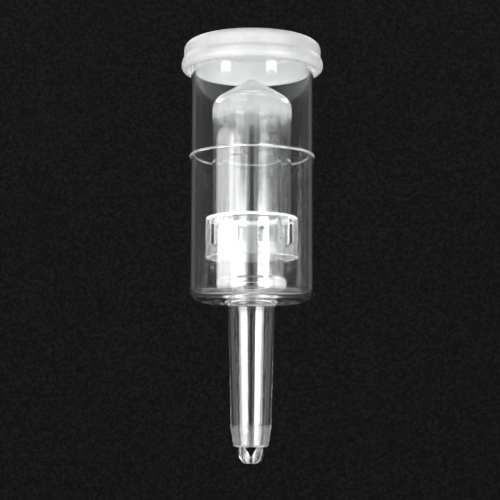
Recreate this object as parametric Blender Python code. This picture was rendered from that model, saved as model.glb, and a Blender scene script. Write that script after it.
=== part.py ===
"""Three-piece water-seal vent (airlock): chamber with riser and stem, float, push-on lid.

Metres, +Z up. The axis of every piece is the Z axis, and the lowest point of the stem's
tip is at the origin. Each piece is one turned moulding, with its windows, vent holes or
tip ribs cut or joined by Booleans.
"""

import math

import bmesh
import bpy
from mathutils import Matrix, Vector

# Chamber
CHAMBER_RADIUS = 0.0190
CHAMBER_WALL = 0.0014
CHAMBER_FLOOR = 0.0017
CHAMBER_CORNER = 0.0040  # outer radius of the rounded bottom corner
HEADROOM = 0.0100  # from the resting float's crown up to the chamber's rim
FILL_LINE_ABOVE_FLOOR = 0.0432
FILL_LINE_PROUD = 0.00015
FILL_LINE_WIDTH = 0.0006
FILL_LINE_CREST = 0.0002  # the flat part of the line's width
RIM_EDGE = 0.00035  # chamfer round the chamber's rim

# Riser, the tube that stands in the chamber
RISER_HEIGHT = 0.0610  # above the chamber's floor
RISER_BORE = 0.0080
RISER_TOP_WALL = 0.00075
RISER_FOOT_WALL = 0.00185
COLLAR_STEP = 0.00095  # how far the collar round the riser's foot stands out
COLLAR_HEIGHT = 0.0049

# Stem, the tapered spigot under the chamber
STEM_LENGTH = 0.0351  # from the shoulder up to the root
STEM_TOP_RADIUS = 0.0071
STEM_SHOULDER_RADIUS = 0.00618
STEM_END_RADIUS = 0.0050
STEM_WALL = 0.0014
STEM_END_WALL = 0.0010
SHOULDER_STEP = 0.00008  # the stem is this much slimmer just above the shoulder
SHOULDER_EDGE = 0.0005  # height of that step
LEAD_IN_HEIGHT = 0.0061
LEAD_IN_ROUND = 0.0007
LEAD_IN_INSET = 0.00028  # from the end face's edge in to the rounding's centre
ROOT_FILLET = 0.0022
FUNNEL_HEIGHT = 0.0047  # the bore widens over this height, from the stem to the riser

# Tip: a cross of two thin plates that keeps the bore open
TIP_HEIGHT = 0.0049  # below the stem's end face
TIP_RIB = 0.0010
TIP_POINT_WEB = 0.0014  # solid height where the plates cross
TIP_OPENING = 0.0033  # radius of the hollow between the plates
TIP_BITE = 0.0007  # how far the plates reach past the bore's wall
TIP_INSIDE = 0.0008  # how far the plates run up inside the bore

# Float
FLOAT_WALL = 0.0010
FLOAT_ANNULUS = 0.00245  # gap from the riser's top edge to the float's tube
FLOAT_CONE_SLOPE = math.radians(31.0)
FLOAT_SHOULDER = 0.0046
FLOAT_CROWN_ROUND = 0.0032
FLOAT_FLOOR_GAP = 0.0117  # from the chamber's floor to the float's lower edge
CAGE_STEP = 0.0018  # how far the cage stands out from the tube
CAGE_WALL = 0.0014
CAGE_FLARE = 0.0002
CAGE_TOP = 0.0011
CAGE_ROUND = 0.0009
BAND_HEIGHT = 0.0036
WINDOW_HEIGHT = 0.0079
WINDOW_CORNER = 0.0008
WINDOW_COUNT = 8
POST_WIDTH = 0.0034

# Lid
LID_TOP = 0.0012
LID_WALL = 0.00175
LID_ROUND = 0.0025
LID_HEIGHT = 0.0090
LID_BEAD_HEIGHT = 0.0040
LID_BEAD_PROUD = 0.00075
LID_RECESS_DEPTH = 0.0003
LID_RECESS_RADIUS = 0.0150
LID_LIP_OUT = 0.0007  # the lower edge is drawn in by this much on the outside
LID_LIP_IN = 0.00035  # and widened by this much on the inside
LID_LIP_HEIGHT = 0.00044  # height of that widening
VENT_COUNT = 4
VENT_RADIUS = 0.0007
VENT_CIRCLE = 0.0090

# Clearances
SEAT_GAP = 0.0003  # between pieces that touch

# Fineness of the curves
SEGMENTS = 48
ARC_STEPS = 5
SMALL_ARC_STEPS = 3
LARGE_ARC_STEPS = 8
CORNER_SEGMENTS = 3
VENT_SEGMENTS = 12
MERGE_DISTANCE = 1e-6
SMOOTH_ANGLE = math.radians(35.0)

# Finishes
CLEAR_COLOUR = (0.96, 0.97, 0.97)
CLEAR_ROUGHNESS = 0.03
MILKY_COLOUR = (0.86, 0.87, 0.86)
MILKY_ROUGHNESS = 0.35
PLASTIC_IOR = 1.59

# Heights worked out from the sizes above
END_FACE_Z = TIP_HEIGHT
SHOULDER_Z = END_FACE_Z + LEAD_IN_HEIGHT
ROOT_Z = SHOULDER_Z + STEM_LENGTH
UNDERSIDE_Z = ROOT_Z + ROOT_FILLET
FLOOR_Z = UNDERSIDE_Z + CHAMBER_FLOOR
RISER_TOP_Z = FLOOR_Z + RISER_HEIGHT

# Radii worked out from the sizes above
CHAMBER_INSIDE = CHAMBER_RADIUS - CHAMBER_WALL
RISER_TOP_RADIUS = RISER_BORE + RISER_TOP_WALL
RISER_FOOT_RADIUS = RISER_BORE + RISER_FOOT_WALL
COLLAR_RADIUS = RISER_FOOT_RADIUS + COLLAR_STEP
STEM_BORE_TOP = STEM_TOP_RADIUS - STEM_WALL
STEM_BORE_END = STEM_END_RADIUS - STEM_END_WALL
TUBE_INSIDE = RISER_TOP_RADIUS + FLOAT_ANNULUS
TUBE_RADIUS = TUBE_INSIDE + FLOAT_WALL
CAGE_RADIUS = TUBE_RADIUS + CAGE_STEP
LID_INSIDE = CHAMBER_RADIUS + SEAT_GAP
LID_RADIUS = LID_INSIDE + LID_WALL


def arc(centre_r, centre_z, radius, start, end, steps=ARC_STEPS):
    """Points (r, z) on an arc, from start to end degrees, 0 pointing outwards and 90 up."""
    angles = [math.radians(start + (end - start) * i / steps) for i in range(steps + 1)]
    return [(centre_r + radius * math.cos(a), centre_z + radius * math.sin(a)) for a in angles]


def material(name, colour, roughness, transmission=0.0):
    """A Principled plastic."""
    made = bpy.data.materials.new(name)
    made.use_nodes = True
    shader = made.node_tree.nodes["Principled BSDF"]
    shader.inputs["Base Color"].default_value = (*colour, 1.0)
    shader.inputs["Roughness"].default_value = roughness
    shader.inputs["Metallic"].default_value = 0.0
    shader.inputs["IOR"].default_value = PLASTIC_IOR
    shader.inputs["Transmission Weight"].default_value = transmission
    return made


def object_from(bm, name):
    """Ends a bmesh and puts it in the scene as an object."""
    mesh = bpy.data.meshes.new(name)
    bm.to_mesh(mesh)
    bm.free()
    made = bpy.data.objects.new(name, mesh)
    bpy.context.scene.collection.objects.link(made)
    return made


def turned(name, outline, closed=True):
    """Spins an outline of (r, z) points about Z. An open outline starts and ends on the axis."""
    bm = bmesh.new()
    points = [bm.verts.new((r, 0.0, z)) for r, z in outline]
    edges = [bm.edges.new(pair) for pair in zip(points, points[1:])]
    if closed:
        edges.append(bm.edges.new((points[-1], points[0])))
    bmesh.ops.spin(
        bm, geom=points + edges, cent=(0, 0, 0), axis=(0, 0, 1),
        angle=2 * math.pi, steps=SEGMENTS, use_merge=True,
    )
    bmesh.ops.remove_doubles(bm, verts=bm.verts, dist=MERGE_DISTANCE)
    bmesh.ops.recalc_face_normals(bm, faces=bm.faces)
    made = object_from(bm, name)
    made.data.shade_smooth()
    made.data.set_sharp_from_angle(angle=SMOOTH_ANGLE)
    return made


def helper(made):
    """Keeps a cutter or a joined shape out of the model itself."""
    made.hide_render = True
    made.display_type = "WIRE"
    return made


def join_or_cut(target, other, operation):
    """Adds an exact Boolean of another object to the target."""
    step = target.modifiers.new(other.name, "BOOLEAN")
    step.object = other
    step.operation = operation
    step.solver = "EXACT"


def tip_plate(name, turn):
    """One upright plate of the tip's cross, across the bore, turned about Z."""
    reach = STEM_BORE_END + TIP_BITE
    inside_z = END_FACE_Z + TIP_INSIDE
    rounded = arc(0.0, reach, reach, 0, -90, LARGE_ARC_STEPS)
    belly = [(r, z * TIP_POINT_WEB / reach) for r, z in rounded[1:-1]]
    side = [(TIP_OPENING, END_FACE_Z), (TIP_OPENING, inside_z), (reach, inside_z),
            (reach, TIP_POINT_WEB), *belly]
    outline = [(0.0, TIP_POINT_WEB), *side, (0.0, 0.0)]
    outline += [(-r, z) for r, z in reversed(side)]
    bm = bmesh.new()
    face = bm.faces.new([bm.verts.new((r, -TIP_RIB / 2, z)) for r, z in outline])
    grown = bmesh.ops.extrude_face_region(bm, geom=[face])["geom"]
    moved = [v for v in grown if isinstance(v, bmesh.types.BMVert)]
    bmesh.ops.translate(bm, vec=Vector((0, TIP_RIB, 0)), verts=moved)
    bmesh.ops.triangulate(bm, faces=[f for f in bm.faces if len(f.verts) > 4])
    bmesh.ops.rotate(
        bm, verts=bm.verts, cent=(0, 0, 0), matrix=Matrix.Rotation(math.radians(turn), 3, "Z")
    )
    bmesh.ops.recalc_face_normals(bm, faces=bm.faces)
    return helper(object_from(bm, name))


def chamber_outline():
    """Closed outline of the chamber, riser and stem: down the outside, then up the bore."""
    line_z = FLOOR_Z + FILL_LINE_ABOVE_FLOOR
    half_line = FILL_LINE_WIDTH / 2
    proud = CHAMBER_RADIUS + FILL_LINE_PROUD
    corner_r = CHAMBER_RADIUS - CHAMBER_CORNER
    inner_corner = max(CHAMBER_CORNER - CHAMBER_WALL, CHAMBER_WALL)
    inner_corner_r = CHAMBER_INSIDE - inner_corner
    outside = [
        (CHAMBER_RADIUS - RIM_EDGE, rim_z()),
        (CHAMBER_RADIUS, rim_z() - RIM_EDGE),
        (CHAMBER_RADIUS, line_z + half_line),
        (proud, line_z + FILL_LINE_CREST / 2),
        (proud, line_z - FILL_LINE_CREST / 2),
        (CHAMBER_RADIUS, line_z - half_line),
        *arc(corner_r, UNDERSIDE_Z + CHAMBER_CORNER, CHAMBER_CORNER, 0, -90),
        *arc(STEM_TOP_RADIUS + ROOT_FILLET, ROOT_Z, ROOT_FILLET, 90, 180),
        (STEM_SHOULDER_RADIUS - SHOULDER_STEP, SHOULDER_Z + SHOULDER_EDGE),
        (STEM_SHOULDER_RADIUS, SHOULDER_Z),
        *arc(STEM_END_RADIUS - LEAD_IN_INSET, END_FACE_Z + LEAD_IN_ROUND,
             LEAD_IN_ROUND, 0, -90, SMALL_ARC_STEPS),
    ]
    bore = [
        (STEM_BORE_END, END_FACE_Z),
        (STEM_BORE_TOP, ROOT_Z),
        (RISER_BORE, ROOT_Z + FUNNEL_HEIGHT),
        (RISER_BORE, RISER_TOP_Z),
    ]
    inside = [
        (RISER_TOP_RADIUS, RISER_TOP_Z),
        (RISER_FOOT_RADIUS, FLOOR_Z + COLLAR_HEIGHT + COLLAR_STEP / 2),
        (COLLAR_RADIUS, FLOOR_Z + COLLAR_HEIGHT),
        (COLLAR_RADIUS, FLOOR_Z),
        *arc(inner_corner_r, FLOOR_Z + inner_corner, inner_corner, -90, 0),
        (CHAMBER_INSIDE, rim_z()),
    ]
    return outside + bore + inside


def cone_height(radius):
    """Height of the float's outer cone above the cone's foot, at a radius."""
    foot = TUBE_RADIUS - FLOAT_SHOULDER + FLOAT_SHOULDER * math.sin(FLOAT_CONE_SLOPE)
    return (foot - radius) * math.tan(FLOAT_CONE_SLOPE)


def ceiling_drop():
    """How far the inner cone lies under the outer one, measured along Z."""
    return FLOAT_WALL / math.cos(FLOAT_CONE_SLOPE)


def cone_foot_z():
    """Height of the outer cone's foot: the inner cone rests on the riser's top edge."""
    return RISER_TOP_Z + SEAT_GAP + ceiling_drop() - cone_height(RISER_TOP_RADIUS)


def crown_z():
    """Height of the float's crown, rounded off below the cone's own point."""
    point = cone_foot_z() + cone_height(0.0)
    return point - FLOAT_CROWN_ROUND * (1 / math.cos(FLOAT_CONE_SLOPE) - 1)


def rim_z():
    """Height of the chamber's rim."""
    return crown_z() + HEADROOM


def float_outline():
    """Open outline of the float, from its crown down the outside and up inside."""
    slope = math.degrees(FLOAT_CONE_SLOPE)
    shoulder_z = cone_foot_z() - FLOAT_SHOULDER * math.cos(FLOAT_CONE_SLOPE)
    shoulder_r = TUBE_RADIUS - FLOAT_SHOULDER
    bottom_z = FLOOR_Z + FLOAT_FLOOR_GAP
    cage_top_z = bottom_z + BAND_HEIGHT + WINDOW_HEIGHT + CAGE_TOP
    cage_inside = CAGE_RADIUS - CAGE_WALL
    inner_shoulder = FLOAT_SHOULDER - FLOAT_WALL
    crown = arc(0.0, crown_z() - FLOAT_CROWN_ROUND, FLOAT_CROWN_ROUND, 90, 90 - slope, SMALL_ARC_STEPS)
    outside = [
        (0.0, crown_z()),
        *crown[1:],
        *arc(shoulder_r, shoulder_z, FLOAT_SHOULDER, 90 - slope, 0, LARGE_ARC_STEPS),
        (TUBE_RADIUS, cage_top_z),
        *arc(CAGE_RADIUS - CAGE_ROUND, cage_top_z - CAGE_ROUND, CAGE_ROUND, 90, 0,
             SMALL_ARC_STEPS),
        (CAGE_RADIUS, bottom_z + BAND_HEIGHT),
        (CAGE_RADIUS + CAGE_FLARE, bottom_z),
    ]
    inside = [
        (cage_inside, bottom_z),
        (cage_inside, cage_top_z - CAGE_TOP),
        (TUBE_INSIDE, cage_top_z - CAGE_TOP),
        *arc(shoulder_r, shoulder_z, inner_shoulder, 0, 90 - slope, LARGE_ARC_STEPS),
        (0.0, crown_z() - ceiling_drop()),
    ]
    return outside + inside


def window_cutters():
    """One cutter per window: a rounded bar that points outwards from the axis."""
    bottom_z = FLOOR_Z + FLOAT_FLOOR_GAP
    middle_z = bottom_z + BAND_HEIGHT + WINDOW_HEIGHT / 2
    pitch = 2 * math.pi / WINDOW_COUNT
    width = 2 * CAGE_RADIUS * math.sin(pitch / 2) - POST_WIDTH
    inner = CAGE_RADIUS - CAGE_WALL - FLOAT_WALL / 2
    length = CAGE_WALL + CAGE_FLARE + FLOAT_WALL * 2
    for i in range(WINDOW_COUNT):
        bm = bmesh.new()
        bmesh.ops.create_cube(bm, size=1.0)
        bmesh.ops.scale(bm, vec=Vector((length, width, WINDOW_HEIGHT)), verts=bm.verts)
        along = [e for e in bm.edges if abs(e.verts[0].co.x - e.verts[1].co.x) > length / 2]
        bmesh.ops.bevel(
            bm, geom=along, offset=WINDOW_CORNER, segments=CORNER_SEGMENTS, profile=0.5,
            affect="EDGES",
        )
        bmesh.ops.translate(bm, vec=Vector((inner + length / 2, 0, middle_z)), verts=bm.verts)
        turn = Matrix.Rotation(pitch * (i + 0.5), 3, "Z")
        bmesh.ops.rotate(bm, verts=bm.verts, cent=(0, 0, 0), matrix=turn)
        yield helper(object_from(bm, f"window_cutter_{i + 1}"))


def lid_outline():
    """Open outline of the lid, from the middle of its top down the outside and up inside."""
    ceiling_z = rim_z() + SEAT_GAP
    top_z = ceiling_z + LID_TOP
    bottom_z = top_z - LID_HEIGHT
    bead_z = bottom_z + LID_BEAD_HEIGHT / 2
    bead = arc(LID_RADIUS, bead_z, 1.0, 90, -90, LARGE_ARC_STEPS)
    bead = [
        (LID_RADIUS + (r - LID_RADIUS) * LID_BEAD_PROUD,
         bead_z + (z - bead_z) * LID_BEAD_HEIGHT / 2)
        for r, z in bead
    ]
    outside = [
        (0.0, top_z - LID_RECESS_DEPTH),
        (LID_RECESS_RADIUS, top_z - LID_RECESS_DEPTH),
        (LID_RECESS_RADIUS + LID_RECESS_DEPTH, top_z),
        *arc(LID_RADIUS - LID_ROUND, top_z - LID_ROUND, LID_ROUND, 90, 0),
        *bead[:-1],
        (LID_RADIUS - LID_LIP_OUT, bottom_z),
    ]
    inside = [
        (LID_INSIDE + LID_LIP_IN, bottom_z),
        (LID_INSIDE, bottom_z + LID_LIP_HEIGHT),
        (LID_INSIDE, ceiling_z),
        (0.0, ceiling_z),
    ]
    return outside + inside


def vent_cutters():
    """One round cutter per vent hole in the lid's top."""
    for i in range(VENT_COUNT):
        turn = 2 * math.pi * (i + 0.5) / VENT_COUNT
        place = Vector((math.cos(turn), math.sin(turn), 0)) * VENT_CIRCLE
        place.z = rim_z() + SEAT_GAP + LID_TOP / 2
        bm = bmesh.new()
        bmesh.ops.create_cone(
            bm, cap_ends=True, segments=VENT_SEGMENTS, radius1=VENT_RADIUS, radius2=VENT_RADIUS,
            depth=LID_TOP * 2, matrix=Matrix.Translation(place),
        )
        yield helper(object_from(bm, f"vent_cutter_{i + 1}"))


def build_chamber(finish):
    """The chamber, riser and stem, with the tip's cross joined in."""
    made = turned("chamber_with_stem", chamber_outline())
    made.data.materials.append(finish)
    for name, turn in (("tip_plate_a", 45), ("tip_plate_b", 135)):
        join_or_cut(made, tip_plate(name, turn), "UNION")
    return made


def build_float(finish):
    """The float, an inverted cup with a windowed cage at its lower end."""
    made = turned("float_cup", float_outline(), closed=False)
    made.data.materials.append(finish)
    for cutter in window_cutters():
        join_or_cut(made, cutter, "DIFFERENCE")
    return made


def build_lid(finish):
    """The push-on lid with its vent holes."""
    made = turned("snap_lid", lid_outline(), closed=False)
    made.data.materials.append(finish)
    for cutter in vent_cutters():
        join_or_cut(made, cutter, "DIFFERENCE")
    return made


def main():
    """Clears the scene and builds the three mouldings."""
    for old in list(bpy.data.objects):
        bpy.data.objects.remove(old)
    clear = material("clear_styrene", CLEAR_COLOUR, CLEAR_ROUGHNESS, transmission=1.0)
    milky = material("milky_polyethylene", MILKY_COLOUR, MILKY_ROUGHNESS)
    build_chamber(clear)
    build_float(clear)
    build_lid(milky)


main()
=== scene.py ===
"""Looks of a three-piece water-seal vent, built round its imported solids.

Sizes are in metres and angles in degrees. The lowest point of the stem's tip is at the
origin, +Z is up, and every piece is turned about Z: an outline of corners (distance from
the axis, height) is rounded and spun.
"""

import logging
import math
from dataclasses import dataclass
from enum import Enum
from typing import Callable, Iterable

import bmesh
import bpy
from mathutils import Matrix, Vector


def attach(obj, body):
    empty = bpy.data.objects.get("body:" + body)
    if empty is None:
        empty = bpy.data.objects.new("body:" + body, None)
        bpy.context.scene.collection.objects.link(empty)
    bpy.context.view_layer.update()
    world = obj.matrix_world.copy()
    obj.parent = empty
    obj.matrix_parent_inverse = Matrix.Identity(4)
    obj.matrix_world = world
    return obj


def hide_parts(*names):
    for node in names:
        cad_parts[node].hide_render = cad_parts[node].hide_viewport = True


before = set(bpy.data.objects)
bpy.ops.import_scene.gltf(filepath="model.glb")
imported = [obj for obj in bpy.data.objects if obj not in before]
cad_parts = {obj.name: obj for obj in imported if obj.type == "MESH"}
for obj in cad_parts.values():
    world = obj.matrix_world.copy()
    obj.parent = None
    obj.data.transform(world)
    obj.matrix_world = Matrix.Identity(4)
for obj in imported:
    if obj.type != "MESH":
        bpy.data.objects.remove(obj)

LOG = logging.getLogger("vent")
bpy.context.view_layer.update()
MERGE = 1e-7


class Body(Enum):
    """The moving bodies of the assembly."""

    CHAMBER = "chamber"
    FLOAT = "float"
    LID = "lid"


class Slot(Enum):
    """The record's material slots."""

    CLEAR_BODY = "clear_styrene"
    CLEAR_FLOAT = "clear_styrene_float"
    MILKY = "milky_polyethylene"


# ---------------------------------------------------------------- outlines and meshes


@dataclass(frozen=True)
class Corner:
    """One corner of an outline.

    Args:
        r: Distance from the axis.
        z: Height.
        cut: How far the rounding starts back along both edges.
        steps: Segments of the rounding.
        rows: Extra points on the edge that leads to the next corner.
    """

    r: float
    z: float
    cut: float = 0.0
    steps: int = 4
    rows: int = 0


@dataclass
class Outline:
    """A run of corners in the XZ plane. An open run starts and ends on the axis."""

    corners: list[Corner]
    closed: bool = True

    def wire(self) -> bmesh.types.BMesh:
        """Makes the rounded wire.

        Returns:
            A bmesh of the outline's points and edges.
        """
        bm = bmesh.new()
        run = list(self.corners)
        if not self.closed:
            run = [self._ghost(run[1])] + run + [self._ghost(run[-2])]
        points = [bm.verts.new((c.r, 0.0, c.z)) for c in run]
        ends = list(zip(points, points[1:]))
        if self.closed:
            ends.append((points[-1], points[0]))
        for corner, (start, end) in zip(run, ends):
            between = [
                bm.verts.new(start.co.lerp(end.co, (i + 1) / (corner.rows + 1)))
                for i in range(corner.rows)
            ]
            chain = [start, *between, end]
            for pair in zip(chain, chain[1:]):
                bm.edges.new(pair)
        for corner, point in zip(run, points):
            if corner.cut:
                bmesh.ops.bevel(
                    bm, geom=[point], offset=corner.cut, segments=corner.steps,
                    profile=0.5, affect="VERTICES", material=-1, clamp_overlap=False,
                )
        if not self.closed:
            bmesh.ops.bisect_plane(
                bm, geom=bm.verts[:] + bm.edges[:], dist=MERGE,
                plane_co=(0, 0, 0), plane_no=(-1, 0, 0), clear_outer=True,
            )
        return bm

    def spun(self, steps: int) -> bmesh.types.BMesh:
        """Spins the wire about Z.

        Args:
            steps: Segments round the axis.

        Returns:
            A closed bmesh with its normals facing out.
        """
        bm = self.wire()
        bmesh.ops.spin(
            bm, geom=bm.verts[:] + bm.edges[:], cent=(0, 0, 0), axis=(0, 0, 1),
            angle=2 * math.pi, steps=steps, use_merge=True,
        )
        bmesh.ops.remove_doubles(bm, verts=bm.verts, dist=MERGE)
        bmesh.ops.recalc_face_normals(bm, faces=bm.faces)
        return bm

    @staticmethod
    def _ghost(corner: Corner) -> Corner:
        """The corner's image across the axis, which lets the end on the axis be rounded."""
        return Corner(-corner.r, corner.z)


def object_from(bm: bmesh.types.BMesh, name: str, sharp: float = 40.0) -> bpy.types.Object:
    """Ends a bmesh and puts it in the scene.

    Args:
        bm: The mesh to end.
        name: The new object's name.
        sharp: Edges that turn more than this are shaded as edges.

    Returns:
        The new object, at the origin.
    """
    mesh = bpy.data.meshes.new(name)
    bm.to_mesh(mesh)
    bm.free()
    mesh.shade_smooth()
    mesh.set_sharp_from_angle(angle=math.radians(sharp))
    made = bpy.data.objects.new(name, mesh)
    bpy.context.scene.collection.objects.link(made)
    return made


def combined(target: bpy.types.Object, others: Iterable[bpy.types.Object],
             operation: str) -> None:
    """Applies an exact Boolean of each helper to the target and removes the helpers.

    Args:
        target: The object that is changed.
        others: The helpers.
        operation: "UNION" or "DIFFERENCE".
    """
    for other in others:
        step = target.modifiers.new(other.name, "BOOLEAN")
        step.object = other
        step.operation = operation
        step.solver = "EXACT"
        graph = bpy.context.evaluated_depsgraph_get()
        mesh = bpy.data.meshes.new_from_object(target.evaluated_get(graph))
        target.modifiers.clear()
        old, target.data = target.data, mesh
        bpy.data.meshes.remove(old)
        bpy.data.objects.remove(other)
    target.data.name = target.name


# ---------------------------------------------------------------- finishes


@dataclass
class Shading:
    """A material's node tree, with short ways to add to it."""

    material: bpy.types.Material

    @classmethod
    def start(cls, name: str) -> "Shading":
        """Makes an empty material.

        Args:
            name: The material's name.

        Returns:
            Its shading.
        """
        made = bpy.data.materials.new(name)
        made.use_nodes = True
        made.node_tree.nodes.clear()
        return cls(made)

    def node(self, kind: str, **settings: object) -> bpy.types.Node:
        """Adds a node.

        Args:
            kind: The node's type name, without its ShaderNode prefix.
            settings: Attributes of the node.

        Returns:
            The node.
        """
        made = self.material.node_tree.nodes.new("ShaderNode" + kind)
        for key, value in settings.items():
            setattr(made, key, value)
        return made

    def link(self, source: bpy.types.NodeSocket, target: bpy.types.NodeSocket) -> None:
        """Joins two sockets."""
        self.material.node_tree.links.new(source, target)

    def noise(self, size: float, detail: float = 3.0, stretch: float = 1.0,
              rough: float = 0.5) -> bpy.types.NodeSocket:
        """A noise pattern on Object coordinates.

        Args:
            size: Size of its features.
            detail: Octaves.
            stretch: How much longer the features are along Z.
            rough: How strong the fine octaves are.

        Returns:
            Its value, about 0.5 in the middle.
        """
        place = self.node("TexCoord")
        mapping = self.node("Mapping")
        mapping.inputs["Scale"].default_value = (1.0, 1.0, 1.0 / stretch)
        noise = self.node("TexNoise")
        noise.inputs["Scale"].default_value = 1.0 / size
        noise.inputs["Detail"].default_value = detail
        noise.inputs["Roughness"].default_value = rough
        self.link(place.outputs["Object"], mapping.inputs["Vector"])
        self.link(mapping.outputs["Vector"], noise.inputs["Vector"])
        return noise.outputs["Fac"]

    def spread(self, value: bpy.types.NodeSocket, source: tuple[float, float],
               target: tuple[float, float]) -> bpy.types.NodeSocket:
        """Maps a value from one range to another, held at the ends.

        Args:
            value: The value.
            source: The range it comes in.
            target: The range it goes out in.

        Returns:
            The mapped value.
        """
        mapped = self.node("MapRange")
        for key, number in zip(("From Min", "From Max", "To Min", "To Max"), source + target):
            mapped.inputs[key].default_value = number
        self.link(value, mapped.inputs["Value"])
        return mapped.outputs["Result"]

    def bump(self, heights: list[tuple[bpy.types.NodeSocket, float]],
             shader: bpy.types.Node) -> None:
        """Adds bumps to a shader's normal.

        Args:
            heights: Pairs of a pattern and the height it stands for.
            shader: The shader.
        """
        before = None
        for height, distance in heights:
            bump = self.node("Bump")
            bump.inputs["Distance"].default_value = distance
            self.link(height, bump.inputs["Height"])
            if before:
                self.link(before, bump.inputs["Normal"])
            before = bump.outputs["Normal"]
        self.link(before, shader.inputs["Normal"])

    def finish(self, surface: bpy.types.NodeSocket) -> bpy.types.Material:
        """Puts a surface on the output.

        Args:
            surface: The last shader's output.

        Returns:
            The material.
        """
        out = self.node("OutputMaterial")
        self.link(surface, out.inputs["Surface"])
        return self.material


@dataclass(frozen=True)
class ClearStyrene:
    """Polished clear styrene with faint flow waves and fine scuffs."""

    name: str
    slot: Slot
    colour: tuple[float, float, float] = (0.985, 0.99, 0.99)
    roughness: tuple[float, float] = (0.02, 0.07)
    refraction: float = 1.59
    wave_size: float = 0.008
    wave_height: float = 6e-6
    scuff_size: float = 0.0009
    scuff_height: float = 5e-7

    def build(self) -> bpy.types.Material:
        """Makes the material.

        Returns:
            A clear plastic that lets the lamps' light through.
        """
        tree = Shading.start(self.name)
        shader = tree.node("BsdfPrincipled")
        shader.inputs["Base Color"].default_value = (*self.colour, 1.0)
        shader.inputs["Transmission Weight"].default_value = 1.0
        shader.inputs["IOR"].default_value = self.refraction
        scuffs = tree.noise(self.scuff_size, detail=4.0, stretch=3.0, rough=0.6)
        tree.link(tree.spread(scuffs, (0.45, 0.75), self.roughness), shader.inputs["Roughness"])
        waves = tree.noise(self.wave_size, detail=1.5, stretch=2.0)
        tree.bump([(waves, self.wave_height), (scuffs, self.scuff_height)], shader)
        through = tree.node("BsdfTransparent")
        through.inputs["Color"].default_value = (*self.colour, 1.0)
        path = tree.node("LightPath")
        mix = tree.node("MixShader")
        tree.link(path.outputs["Is Shadow Ray"], mix.inputs["Fac"])
        tree.link(shader.outputs["BSDF"], mix.inputs[1])
        tree.link(through.outputs["BSDF"], mix.inputs[2])
        return tree.finish(mix.outputs["Shader"])


@dataclass(frozen=True)
class SatinStyrene:
    """Styrene that its mould has left satin, so that it glows with the light round it.

    Args:
        name: The material's name.
        slot: The record's slot. It is not used.
        haze: How much of it scatters.
        fade: Heights between which the satin sets in, or None where it is even.
    """

    name: str
    slot: Slot
    haze: float
    fade: tuple[float, float] | None = None
    colour: tuple[float, float, float] = (0.93, 0.935, 0.935)
    roughness: tuple[float, float] = (0.03, 0.30)
    refraction: float = 1.59
    cloud_size: float = 0.004
    grain_size: float = 0.0004
    grain_height: float = 3e-6
    unevenness: float = 0.2

    def build(self) -> bpy.types.Material:
        """Makes the material.

        Returns:
            A rough clear plastic mixed with a little scattering.
        """
        tree = Shading.start(self.name)
        shader = tree.node("BsdfPrincipled")
        shader.inputs["Base Color"].default_value = (*self.colour, 1.0)
        shader.inputs["Transmission Weight"].default_value = 1.0
        shader.inputs["IOR"].default_value = self.refraction
        grain = tree.noise(self.grain_size, detail=3.0)
        tree.bump([(grain, self.grain_height)], shader)
        clouds = tree.noise(self.cloud_size, detail=2.0)
        least, most = self.haze * (1 - self.unevenness), self.haze * (1 + self.unevenness)
        amount = tree.spread(clouds, (0.3, 0.7), (least, most))
        if self.fade:
            place = tree.node("TexCoord")
            height = tree.node("SeparateXYZ")
            tree.link(place.outputs["Object"], height.inputs["Vector"])
            rise = tree.spread(height.outputs["Z"], self.fade, (0.0, 1.0))
            both = tree.node("Math", operation="MULTIPLY")
            tree.link(amount, both.inputs[0])
            tree.link(rise, both.inputs[1])
            amount = both.outputs["Value"]
        tree.link(tree.spread(amount, (0.0, 0.5), self.roughness), shader.inputs["Roughness"])
        bright = tree.node("BsdfDiffuse")
        glow = tree.node("BsdfTranslucent")
        for scatter in (bright, glow):
            scatter.inputs["Color"].default_value = (*self.colour, 1.0)
        halves = tree.node("MixShader")
        tree.link(bright.outputs["BSDF"], halves.inputs[1])
        tree.link(glow.outputs["BSDF"], halves.inputs[2])
        through = tree.node("BsdfTransparent")
        through.inputs["Color"].default_value = (*self.colour, 1.0)
        path = tree.node("LightPath")
        clear = tree.node("MixShader")
        tree.link(path.outputs["Is Shadow Ray"], clear.inputs["Fac"])
        tree.link(shader.outputs["BSDF"], clear.inputs[1])
        tree.link(through.outputs["BSDF"], clear.inputs[2])
        hazy = tree.node("MixShader")
        tree.link(amount, hazy.inputs["Fac"])
        tree.link(clear.outputs["Shader"], hazy.inputs[1])
        tree.link(halves.outputs["Shader"], hazy.inputs[2])
        return tree.finish(hazy.outputs["Shader"])


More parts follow.
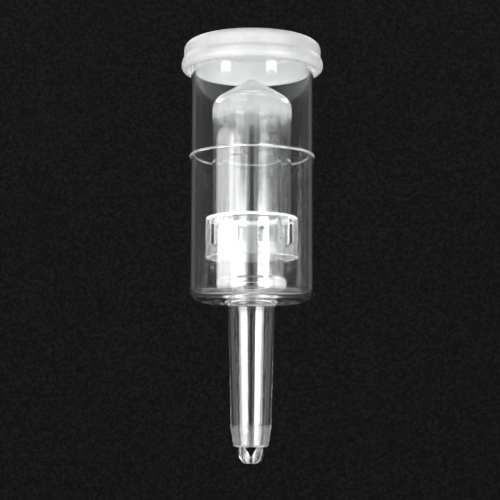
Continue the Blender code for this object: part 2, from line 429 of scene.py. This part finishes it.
@dataclass(frozen=True)
class MilkyPolyethylene:
    """Soft milky polyethylene: satin, cloudy and a little see-through to light."""

    name: str = "milky_polyethylene"
    slot: Slot = Slot.MILKY
    colour: tuple[float, float, float] = (0.65, 0.66, 0.66)
    cloud_colour: tuple[float, float, float] = (0.72, 0.72, 0.715)
    roughness: tuple[float, float] = (0.20, 0.32)
    refraction: float = 1.51
    glow: float = 0.32
    scatter: float = 0.5
    depth: float = 0.0025
    cloud_size: float = 0.006
    grain_size: float = 0.0005
    grain_height: float = 6e-6
    wave_height: float = 1.5e-5

    def build(self) -> bpy.types.Material:
        """Makes the material.

        Returns:
            A scattering plastic mixed with one that glows with the light behind it.
        """
        tree = Shading.start(self.name)
        clouds = tree.noise(self.cloud_size, detail=3.0)
        grain = tree.noise(self.grain_size, detail=2.0)
        tint = tree.node("Mix", data_type="RGBA")
        tint.inputs["A"].default_value = (*self.colour, 1.0)
        tint.inputs["B"].default_value = (*self.cloud_colour, 1.0)
        tree.link(tree.spread(clouds, (0.35, 0.65), (0.0, 1.0)), tint.inputs["Factor"])
        shader = tree.node("BsdfPrincipled")
        tree.link(tint.outputs["Result"], shader.inputs["Base Color"])
        tree.link(tree.spread(grain, (0.3, 0.7), self.roughness), shader.inputs["Roughness"])
        shader.inputs["IOR"].default_value = self.refraction
        shader.inputs["Subsurface Weight"].default_value = self.scatter
        shader.inputs["Subsurface Radius"].default_value = (1.0, 1.0, 1.0)
        shader.inputs["Subsurface Scale"].default_value = self.depth
        tree.bump([(clouds, self.wave_height), (grain, self.grain_height)], shader)
        glow = tree.node("BsdfTranslucent")
        tree.link(tint.outputs["Result"], glow.inputs["Color"])
        mix = tree.node("MixShader")
        mix.inputs["Fac"].default_value = self.glow
        tree.link(shader.outputs["BSDF"], mix.inputs[1])
        tree.link(glow.outputs["BSDF"], mix.inputs[2])
        return tree.finish(mix.outputs["Shader"])


@dataclass(frozen=True)
class BlackCloth:
    """Matte black cotton with slack folds and lint."""

    name: str = "black_cloth"
    dark: float = 0.003
    pale: float = 0.009
    fold_size: float = 0.09
    fold_height: float = 0.02
    weave_size: float = 0.0022
    weave_height: float = 0.0002
    roughness: float = 0.95
    specular: float = 0.1

    def build(self) -> bpy.types.Material:
        """Makes the material."""
        tree = Shading.start(self.name)
        folds = tree.noise(self.fold_size, detail=3.0, stretch=2.0)
        weave = tree.noise(self.weave_size, detail=2.0)
        shader = tree.node("BsdfPrincipled")
        tint = tree.node("Mix", data_type="RGBA")
        tint.inputs["A"].default_value = (self.dark,) * 3 + (1.0,)
        tint.inputs["B"].default_value = (self.pale,) * 3 + (1.0,)
        tree.link(tree.spread(weave, (0.4, 0.7), (0.0, 1.0)), tint.inputs["Factor"])
        tree.link(tint.outputs["Result"], shader.inputs["Base Color"])
        shader.inputs["Roughness"].default_value = self.roughness
        shader.inputs["Specular IOR Level"].default_value = self.specular
        tree.bump([(folds, self.fold_height), (weave, self.weave_height)], shader)
        return tree.finish(shader.outputs["BSDF"])


@dataclass(frozen=True)
class PaleFloor:
    """Plain pale studio board."""

    name: str = "pale_floor"
    colour: tuple[float, float, float] = (0.60, 0.60, 0.59)
    cloud_colour: tuple[float, float, float] = (0.64, 0.64, 0.63)
    cloud_size: float = 0.3
    roughness: float = 0.7

    def build(self) -> bpy.types.Material:
        """Makes the material."""
        tree = Shading.start(self.name)
        shader = tree.node("BsdfPrincipled")
        clouds = tree.noise(self.cloud_size, detail=2.0)
        tint = tree.node("Mix", data_type="RGBA")
        tint.inputs["A"].default_value = (*self.colour, 1.0)
        tint.inputs["B"].default_value = (*self.cloud_colour, 1.0)
        tree.link(clouds, tint.inputs["Factor"])
        tree.link(tint.outputs["Result"], shader.inputs["Base Color"])
        shader.inputs["Roughness"].default_value = self.roughness
        return tree.finish(shader.outputs["BSDF"])


Finish = ClearStyrene | SatinStyrene | MilkyPolyethylene


def dress(piece: bpy.types.Object, finishes: tuple[Finish, ...], body: Body,
          nodes: list[str]) -> None:
    """Gives a piece its finishes, its body and the nodes it stands for.

    Args:
        piece: The piece. Its faces are already numbered if it has several finishes.
        finishes: Its finishes, the main one first.
        body: The body it moves with.
        nodes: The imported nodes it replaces.
    """
    flats = piece.modifiers.new("flat_walls", "WEIGHTED_NORMAL")
    flats.mode = "FACE_AREA"
    flats.weight = 100
    flats.keep_sharp = True
    numbers = [face.material_index for face in piece.data.polygons]
    piece.data.materials.clear()
    for finish in finishes:
        piece.data.materials.append(finish.build())
    if len(finishes) > 1:
        piece.data.polygons.foreach_set("material_index", numbers)
    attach(piece, body.value)
    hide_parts(*nodes)
    LOG.info("%s: %d faces, on %s", piece.name, len(piece.data.polygons), body.value)


# ---------------------------------------------------------------- the three mouldings


@dataclass
class Chamber:
    """The chamber with its riser, tapered stem and ribbed tip, one clear moulding."""

    radius: float = 0.0190
    wall: float = 0.0014
    corner: float = 0.0040
    underside_z: float = 0.0483
    floor_z: float = 0.0500
    rim_z: float = 0.12719
    fill_line_z: float = 0.0932
    fill_line_proud: float = 0.00015
    fill_line_width: float = 0.0006
    riser_bore: float = 0.0080
    riser_top_radius: float = 0.00875
    riser_foot_radius: float = 0.00985
    riser_top_z: float = 0.1110
    collar_radius: float = 0.0108
    collar_top_z: float = 0.0549
    root_z: float = 0.0461
    root_fillet: float = 0.0022
    stem_top_radius: float = 0.0071
    stem_top_bore: float = 0.0057
    funnel_top_z: float = 0.0508
    shoulder_z: float = 0.0110
    shoulder_radius: float = 0.00618
    end_z: float = 0.0049
    end_radius: float = 0.0050
    end_bore: float = 0.0040
    rib: float = 0.0010
    rib_reach: float = 0.0047
    rib_top_z: float = 0.0057
    rib_opening: float = 0.0033
    point_web: float = 0.0014
    rim_round: float = 0.0005
    line_round: float = 0.00008
    shoulder_step: float = 0.0001
    shoulder_edge: float = 0.0005
    shoulder_round: float = 0.0003
    end_taper: float = 0.0002
    end_round: float = 0.0006
    bore_edge: float = 0.0002
    bore_bend: float = 0.0015
    riser_edge: float = 0.00025
    collar_slope: float = 0.0005
    collar_bend: float = 0.0004
    collar_round: float = 0.0003
    foot_round: float = 0.0006
    inner_rim_round: float = 0.0004
    rib_sink: float = 0.0004
    rib_round: float = 0.0030
    rib_edge: float = 0.00018
    rib_turns: tuple[float, float] = (45, 135)
    steps: int = 224
    finish: ClearStyrene = ClearStyrene("clear_styrene_chamber", Slot.CLEAR_BODY)
    line_finish: SatinStyrene = SatinStyrene("satin_styrene_line", Slot.CLEAR_BODY, 0.25)
    lead_in_finish: SatinStyrene = SatinStyrene("satin_styrene_lead_in", Slot.CLEAR_BODY, 0.07)

    def outline(self) -> Outline:
        """The moulding's section: down the outside, up the bore, and down to the floor."""
        line = self.fill_line_width / 2
        proud = self.radius + self.fill_line_proud
        inside = self.radius - self.wall
        return Outline([
            Corner(self.radius, self.rim_z, self.rim_round, 4),
            Corner(self.radius, self.fill_line_z + line, self.line_round, 2),
            Corner(proud, self.fill_line_z + line / 2, self.line_round, 2),
            Corner(proud, self.fill_line_z - line / 2, self.line_round, 2),
            Corner(self.radius, self.fill_line_z - line, self.line_round, 2),
            Corner(self.radius, self.underside_z, self.corner, 14),
            Corner(self.stem_top_radius, self.underside_z, self.root_fillet, 12),
            Corner(self.shoulder_radius - self.shoulder_step, self.shoulder_z + self.shoulder_edge,
                   self.shoulder_round, 3),
            Corner(self.shoulder_radius, self.shoulder_z, self.shoulder_round, 4),
            Corner(self.end_radius + self.end_taper, self.end_z, self.end_round, 6),
            Corner(self.end_bore, self.end_z, self.bore_edge, 3),
            Corner(self.stem_top_bore, self.root_z, self.bore_bend, 6),
            Corner(self.riser_bore, self.funnel_top_z, self.bore_bend, 6),
            Corner(self.riser_bore, self.riser_top_z, self.riser_edge, 4),
            Corner(self.riser_top_radius, self.riser_top_z, self.riser_edge, 4),
            Corner(self.riser_foot_radius, self.collar_top_z + self.collar_slope,
                   self.collar_bend, 4),
            Corner(self.collar_radius, self.collar_top_z, self.collar_round, 4),
            Corner(self.collar_radius, self.floor_z, self.foot_round, 5),
            Corner(inside, self.floor_z, self.corner - self.wall, 12),
            Corner(inside, self.rim_z, self.inner_rim_round, 4),
        ])

    def tip_plate(self, name: str, turn: float) -> bpy.types.Object:
        """One upright plate of the tip's cross.

        Args:
            name: The plate's name.
            turn: Its turn about Z.

        Returns:
            The plate as a helper object.
        """
        bm = bmesh.new()
        side = [
            (self.rib_opening, self.end_z + self.rib_sink), (self.rib_opening, self.rib_top_z),
            (self.rib_reach, self.rib_top_z), (self.rib_reach, 0.0),
        ]
        run = [(0.0, self.point_web), *side, *[(-r, z) for r, z in reversed(side)]]
        face = bm.faces.new([bm.verts.new((r, -self.rib / 2, z)) for r, z in run])
        lower = [v for v in bm.verts if v.co.z < MERGE]
        bmesh.ops.bevel(
            bm, geom=lower, offset=self.rib_round, segments=10, profile=0.5, affect="VERTICES",
            material=-1,
        )
        grown = bmesh.ops.extrude_face_region(bm, geom=bm.faces[:])["geom"]
        moved = [v for v in grown if isinstance(v, bmesh.types.BMVert)]
        bmesh.ops.translate(bm, vec=Vector((0, self.rib, 0)), verts=moved)
        bmesh.ops.recalc_face_normals(bm, faces=bm.faces)
        rims = [e for e in bm.edges if abs(e.verts[0].co.y - e.verts[1].co.y) < MERGE]
        bmesh.ops.bevel(
            bm, geom=rims, offset=self.rib_edge, segments=3, profile=0.5, affect="EDGES",
            material=-1,
        )
        bmesh.ops.rotate(
            bm, verts=bm.verts, cent=(0, 0, 0), matrix=Matrix.Rotation(math.radians(turn), 3, "Z")
        )
        return object_from(bm, name)

    def mark_finishes(self, mesh: bpy.types.Mesh) -> None:
        """Numbers each face's finish: 0 clear, 1 the fill line, 2 the stem's lead-in.

        Args:
            mesh: The moulding's mesh.
        """
        for face in mesh.polygons:
            out, height = face.center.xy.length, face.center.z
            on_line = abs(height - self.fill_line_z) < self.fill_line_width / 2
            outward = face.normal.xy.dot(face.center.xy) > 0
            on_lead_in = self.end_z < height < self.shoulder_z and out > self.end_bore + self.rib_sink
            face.material_index = 0
            if on_line and out > self.radius:
                face.material_index = 1
            elif outward and on_lead_in:
                face.material_index = 2

    def build(self) -> bpy.types.Object:
        """Makes and dresses the moulding."""
        piece = object_from(self.outline().spun(self.steps), "chamber_moulding")
        plates = [self.tip_plate(f"tip_plate_{letter}", turn)
                  for letter, turn in zip("ab", self.rib_turns)]
        combined(piece, plates, "UNION")
        self.mark_finishes(piece.data)
        finishes = (self.finish, self.line_finish, self.lead_in_finish)
        dress(piece, finishes, Body.CHAMBER, ["chamber_with_stem"])
        return piece


@dataclass
class Float:
    """The inverted cup with a conical crown and a cage of windows round its lower end."""

    inside: float = 0.0112
    tube: float = 0.0122
    cage: float = 0.0140
    cage_inside: float = 0.0126
    flare: float = 0.0142
    bottom_z: float = 0.0617
    band_z: float = 0.0653
    window_top_z: float = 0.0732
    cage_top_z: float = 0.0743
    shoulder_z: float = 0.11039
    shoulder_cut: float = 0.0026
    apex_z: float = 0.11772
    apex_cut: float = 0.00165
    wall_drop: float = 0.001167
    windows: int = 8
    columns: int = 32
    open_columns: int = 22
    rows: int = 21
    window_corner: float = 0.0009
    window_margin: float = 0.00005
    inner_shoulder: float = 0.78
    slope: float = 31.0
    rim_round: float = 0.00018
    ledge_round: float = 0.0009
    corner_round: float = 0.0003
    lip_round: float = 0.0004
    ceiling_round: float = 0.0002
    dome_z: float = 0.1030
    finish: ClearStyrene = ClearStyrene("clear_styrene_float", Slot.CLEAR_FLOAT)
    dome_finish: SatinStyrene = SatinStyrene(
        "satin_styrene_dome", Slot.CLEAR_FLOAT, 0.14, (0.1035, 0.1058)
    )
    cage_finish: SatinStyrene = SatinStyrene("satin_styrene_cage", Slot.CLEAR_FLOAT, 0.055)
    edge_finish: SatinStyrene = SatinStyrene("satin_styrene_edges", Slot.CLEAR_FLOAT, 0.55)

    def outline(self) -> Outline:
        """The cup's section, from its crown down the outside and up inside."""
        wall = self.tube - self.inside
        inner_cut = self.shoulder_cut * self.inner_shoulder
        inner_z = self.shoulder_z - self.wall_drop + wall * math.tan(math.radians(self.slope))
        return Outline([
            Corner(0.0, self.apex_z, self.apex_cut, 8),
            Corner(self.tube, self.shoulder_z, self.shoulder_cut, 14),
            Corner(self.tube, self.dome_z),
            Corner(self.tube, self.cage_top_z, self.corner_round, 3),
            Corner(self.cage, self.cage_top_z, self.ledge_round, 8),
            Corner(self.cage, self.window_top_z, rows=self.rows),
            Corner(self.cage, self.band_z),
            Corner(self.flare, self.bottom_z, self.lip_round, 4),
            Corner(self.cage_inside, self.bottom_z, self.corner_round, 4),
            Corner(self.cage_inside, self.band_z, rows=self.rows),
            Corner(self.cage_inside, self.window_top_z - self.corner_round),
            Corner(self.cage_inside, self.window_top_z, self.ceiling_round, 2),
            Corner(self.inside, self.window_top_z, self.corner_round, 3),
            Corner(self.inside, self.dome_z),
            Corner(self.inside, inner_z, inner_cut, 12),
            Corner(0.0, self.apex_z - self.wall_drop, self.apex_cut, 8),
        ], closed=False)

    def window_of(self, place: Vector) -> tuple[float, float]:
        """Where a point is from the middle of the window nearest to it.

        Args:
            place: The point.

        Returns:
            Its angle in radians and its height, from the window's middle.
        """
        pitch = 2 * math.pi / self.windows
        angle = math.atan2(place.y, place.x) % pitch - pitch / 2
        return angle, place.z - (self.window_top_z + self.band_z) / 2

    def cut_windows(self, bm: bmesh.types.BMesh) -> None:
        """Opens the windows through both walls of the cage and rounds their rims.

        Args:
            bm: The spun float.
        """
        half_turn = math.pi * self.open_columns / (self.windows * self.columns)
        half_height = (self.window_top_z - self.band_z) / 2
        opened = []
        for face in bm.faces:
            middle = face.calc_center_median()
            angle, height = self.window_of(middle)
            out = math.hypot(middle.x, middle.y)
            on_cage = out > (self.tube + self.cage_inside) / 2 and abs(face.normal.z) < 0.3
            if on_cage and abs(angle) < half_turn and abs(height) < half_height - self.window_margin:
                opened.append(face)
        bmesh.ops.delete(bm, geom=opened, context="FACES")
        loose = [e for e in bm.edges if e.is_boundary]
        for point in {v for e in loose for v in e.verts}:
            self.round_corner(point, half_turn, half_height)
        rims: list[bmesh.types.BMEdge] = []
        for i in range(self.windows):
            centre = 2 * math.pi * (i + 0.5) / self.windows
            facing = Vector((math.cos(centre), math.sin(centre), 0))
            loops = [e for e in loose
                     if (e.verts[0].co.xy.normalized() @ facing.xy) > math.cos(half_turn * 1.2)]
            bmesh.ops.bridge_loops(bm, edges=loops)
            rims += loops
        bmesh.ops.recalc_face_normals(bm, faces=bm.faces)
        rounded = bmesh.ops.bevel(
            bm, geom=rims, offset=self.rim_round, segments=2, profile=0.5, affect="EDGES",
            material=-1, clamp_overlap=True,
        )
        for face in rounded["faces"]:
            face.material_index = 3

    def mark_finishes(self, bm: bmesh.types.BMesh) -> None:
        """Numbers each face's finish: 0 clear, 1 the dome, 2 the cage, 3 its upper edge.

        Args:
            bm: The spun float.
        """
        for face in bm.faces:
            middle = face.calc_center_median()
            out = math.hypot(middle.x, middle.y)
            if middle.z > self.dome_z:
                face.material_index = 1
            elif middle.z > self.cage_top_z - self.ledge_round and out > self.cage_inside:
                face.material_index = 3
            elif middle.z < self.cage_top_z and out > (self.tube + self.cage_inside) / 2:
                face.material_index = 2

    def round_corner(self, point: bmesh.types.BMVert, half_turn: float,
                     half_height: float) -> None:
        """Moves a point of a window's rim onto the window's rounded corner.

        Args:
            point: The point.
            half_turn: Half of the window's angle.
            half_height: Half of its height.
        """
        out = math.hypot(point.co.x, point.co.y)
        angle, height = self.window_of(point.co)
        across = abs(angle) * out - (half_turn * out - self.window_corner)
        along = abs(height) - (half_height - self.window_corner)
        if across <= 0 or along <= 0:
            return
        scale = self.window_corner / math.hypot(across, along)
        turn = math.copysign((scale - 1) * across / out, angle)
        rise = math.copysign((scale - 1) * along, height)
        point.co = Matrix.Rotation(turn, 3, "Z") @ point.co + Vector((0, 0, rise))

    def build(self) -> bpy.types.Object:
        """Makes and dresses the float."""
        bm = self.outline().spun(self.windows * self.columns)
        self.mark_finishes(bm)
        self.cut_windows(bm)
        piece = object_from(bm, "float_moulding")
        finishes = (self.finish, self.dome_finish, self.cage_finish, self.edge_finish)
        dress(piece, finishes, Body.FLOAT, ["float_cup"])
        return piece


@dataclass
class Lid:
    """The milky push-on lid with a rounded edge, a grip bead and vent holes."""

    inside: float = 0.0193
    radius: float = 0.02105
    bead: float = 0.0218
    ceiling_z: float = 0.12749
    top_z: float = 0.12869
    bottom_z: float = 0.11969
    bead_top_z: float = 0.12369
    edge_round: float = 0.0025
    recess: float = 0.0003
    recess_radius: float = 0.0150
    recess_round: float = 0.0001
    crest_round: float = 0.0003
    neck_round: float = 0.0005
    bead_slope: float = 0.0010
    bead_upper_round: float = 0.0009
    bead_lower_round: float = 0.0007
    lip_in: float = 0.0002
    lip_out: float = 0.0004
    lip_height: float = 0.0006
    lip_round: float = 0.0002
    ceiling_round: float = 0.0013
    vents: int = 4
    vent_radius: float = 0.0007
    vent_circle: float = 0.0090
    steps: int = 192
    finish: MilkyPolyethylene = MilkyPolyethylene()

    def outline(self) -> Outline:
        """The lid's section, from the middle of its top down the outside and up inside."""
        return Outline([
            Corner(0.0, self.top_z - self.recess),
            Corner(self.recess_radius, self.top_z - self.recess, self.recess_round, 2),
            Corner(self.recess_radius + self.recess, self.top_z, self.crest_round, 3),
            Corner(self.radius, self.top_z, self.edge_round, 12),
            Corner(self.radius, self.bead_top_z, self.neck_round, 4),
            Corner(self.bead, self.bead_top_z - self.bead_slope, self.bead_upper_round, 6),
            Corner(self.bead, self.bottom_z + self.bead_upper_round, self.bead_lower_round, 6),
            Corner(self.radius - self.lip_in, self.bottom_z, self.neck_round, 5),
            Corner(self.inside + self.lip_out, self.bottom_z, self.lip_round, 3),
            Corner(self.inside, self.bottom_z + self.lip_height, self.lip_round, 2),
            Corner(self.inside, self.ceiling_z, self.ceiling_round, 8),
            Corner(0.0, self.ceiling_z),
        ], closed=False)

    def vent_cutter(self, index: int) -> bpy.types.Object:
        """A round cutter for one vent hole.

        Args:
            index: The hole's number.

        Returns:
            The cutter as a helper object.
        """
        turn = 2 * math.pi * (index + 0.5) / self.vents
        place = Vector((math.cos(turn), math.sin(turn), 0)) * self.vent_circle
        place.z = (self.ceiling_z + self.top_z) / 2
        bm = bmesh.new()
        bmesh.ops.create_cone(
            bm, cap_ends=True, segments=32, radius1=self.vent_radius,
            radius2=self.vent_radius, depth=(self.top_z - self.ceiling_z) * 2,
            matrix=Matrix.Translation(place),
        )
        return object_from(bm, f"vent_cutter_{index + 1}")

    def build(self) -> bpy.types.Object:
        """Makes and dresses the lid."""
        piece = object_from(self.outline().spun(self.steps), "lid_moulding")
        combined(piece, [self.vent_cutter(i) for i in range(self.vents)], "DIFFERENCE")
        dress(piece, (self.finish,), Body.LID, ["snap_lid"])
        return piece


# ---------------------------------------------------------------- studio


@dataclass(frozen=True)
class Softbox:
    """A softbox that faces the vent's axis.

    Args:
        name: The lamp's name.
        side: Direction from the axis, from the camera's side, to the right if positive.
        width: Its width as an angle seen from the axis.
        bottom_z: Height of its lower edge.
        top_z: Height of its upper edge.
        radiance: Brightness of its face.
        distance: How far it stands from the axis.
        raised: Angle by which it is swung up over the vent, from upright.
    """

    name: str
    side: float
    width: float
    bottom_z: float
    top_z: float
    radiance: float
    distance: float = 0.70
    raised: float = 0.0

    def build(self) -> bpy.types.Object:
        """Makes the lamp.

        Returns:
            The lamp's object.
        """
        data = bpy.data.lights.new(self.name, "AREA")
        data.shape = "RECTANGLE"
        data.size = 2 * self.distance * math.tan(math.radians(self.width / 2))
        data.size_y = self.top_z - self.bottom_z
        data.energy = self.radiance * math.pi * data.size * data.size_y
        lamp = bpy.data.objects.new(self.name, data)
        bpy.context.scene.collection.objects.link(lamp)
        turn, lift = math.radians(self.side), math.radians(self.raised)
        middle = (self.top_z + self.bottom_z) / 2
        out = self.distance * math.cos(lift)
        lamp.location = (
            out * math.sin(turn), -out * math.cos(turn),
            self.distance * math.sin(lift) if self.raised else middle,
        )
        lamp.rotation_euler = (math.radians(90) - lift, 0, turn)
        lamp.visible_camera = False
        return lamp


@dataclass
class Studio:
    """Camera, lamps, black cloth behind the vent and a pale floor under it."""

    lens: float = 109.5
    pitch: float = 7.008
    roll: float = 0.22
    eye: tuple[float, float, float] = (-0.0005, -0.4596, 0.0079)
    floor_z: float = -0.45
    floor_radius: float = 3.0
    cloth_y: float = 0.60
    cloth_half_width: float = 0.35
    cloth_height: float = 1.00
    ambient: float = 0.10
    softboxes: tuple[Softbox, ...] = (
        Softbox("left_box", -46.0, 40.0, -0.30, 0.168, 7.0),
        Softbox("left_box_top", -51.0, 34.0, 0.168, 0.240, 4.2),
        Softbox("left_box_inner", -27.0, 14.0, 0.168, 0.240, 0.5),
        Softbox("right_box_low", 47.0, 36.0, -0.30, 0.126, 7.0),
        Softbox("right_box", 45.0, 30.0, 0.126, 0.168, 1.0),
        Softbox("right_strip", 27.0, 9.0, -0.30, 0.168, 8.0, 0.69),
        Softbox("front_fill", -14.0, 14.0, -0.035, 0.240, 1.0),
        Softbox("high_left", -40.0, 50.0, 0.335, 0.520, 1.3),
        Softbox("high_right", 36.0, 50.0, 0.335, 0.520, 1.1),
        Softbox("spot_left", -50.0, 18.0, 0.282, 0.290, 6.0, 0.69),
        Softbox("spot_right", 36.0, 20.0, 0.282, 0.290, 6.0, 0.69),
        Softbox("overhead", -45.0, 40.0, 0.0, 0.36, 1.4, 0.70, 46.0),
        Softbox("rear_left", -135.0, 40.0, 0.0, 0.36, 2.4, 0.70, 46.0),
        Softbox("rear_right", 135.0, 40.0, 0.0, 0.36, 2.4, 0.70, 46.0),
    )

    def camera(self) -> None:
        """Makes the camera."""
        data = bpy.data.cameras.new("camera")
        data.sensor_width = 36.0
        data.lens = self.lens
        data.clip_start, data.clip_end = 0.01, 20.0
        eye = bpy.data.objects.new("camera", data)
        bpy.context.scene.collection.objects.link(eye)
        upright = Matrix.Rotation(math.radians(90 + self.pitch), 4, "X")
        rolled = Matrix.Rotation(math.radians(self.roll), 4, "Z")
        eye.matrix_world = Matrix.Translation(self.eye) @ upright @ rolled
        bpy.context.scene.camera = eye

    def surroundings(self) -> None:
        """Makes the floor, the cloth and the ambient light."""
        bm = bmesh.new()
        bmesh.ops.create_circle(bm, cap_ends=True, segments=96, radius=self.floor_radius)
        bmesh.ops.translate(bm, vec=Vector((0, 0, self.floor_z)), verts=bm.verts)
        floor = object_from(bm, "floor")
        floor.data.materials.append(PaleFloor().build())
        bm = bmesh.new()
        low = bm.verts.new((-self.cloth_half_width, self.cloth_y, self.floor_z))
        far = bm.verts.new((self.cloth_half_width, self.cloth_y, self.floor_z))
        edge = bm.edges.new((low, far))
        grown = bmesh.ops.extrude_edge_only(bm, edges=[edge])["geom"]
        moved = [v for v in grown if isinstance(v, bmesh.types.BMVert)]
        bmesh.ops.translate(bm, vec=Vector((0, 0, self.cloth_height)), verts=moved)
        cloth = object_from(bm, "cloth")
        cloth.data.materials.append(BlackCloth().build())
        world = bpy.data.worlds.new("room")
        world.use_nodes = True
        light = world.node_tree.nodes["Background"]
        light.inputs["Color"].default_value = (self.ambient,) * 3 + (1.0,)
        bpy.context.scene.world = world

    def build(self) -> None:
        """Makes everything round the vent and sets how light is traced and shown."""
        self.camera()
        self.surroundings()
        for box in self.softboxes:
            box.build()
        scene = bpy.context.scene
        scene.view_settings.view_transform = "Standard"
        scene.cycles.max_bounces = 32
        scene.cycles.transmission_bounces = 32
        scene.cycles.transparent_max_bounces = 32
        scene.cycles.glossy_bounces = 12
        scene.cycles.diffuse_bounces = 6


def main() -> None:
    """Builds the mouldings and the studio in order."""
    logging.basicConfig(level=logging.INFO, format="%(name)s: %(message)s")
    steps: list[Callable[[], object]] = [
        Chamber().build, Float().build, Lid().build, Studio().build,
    ]
    for step in steps:
        step()


if __name__ == "__main__":
    main()
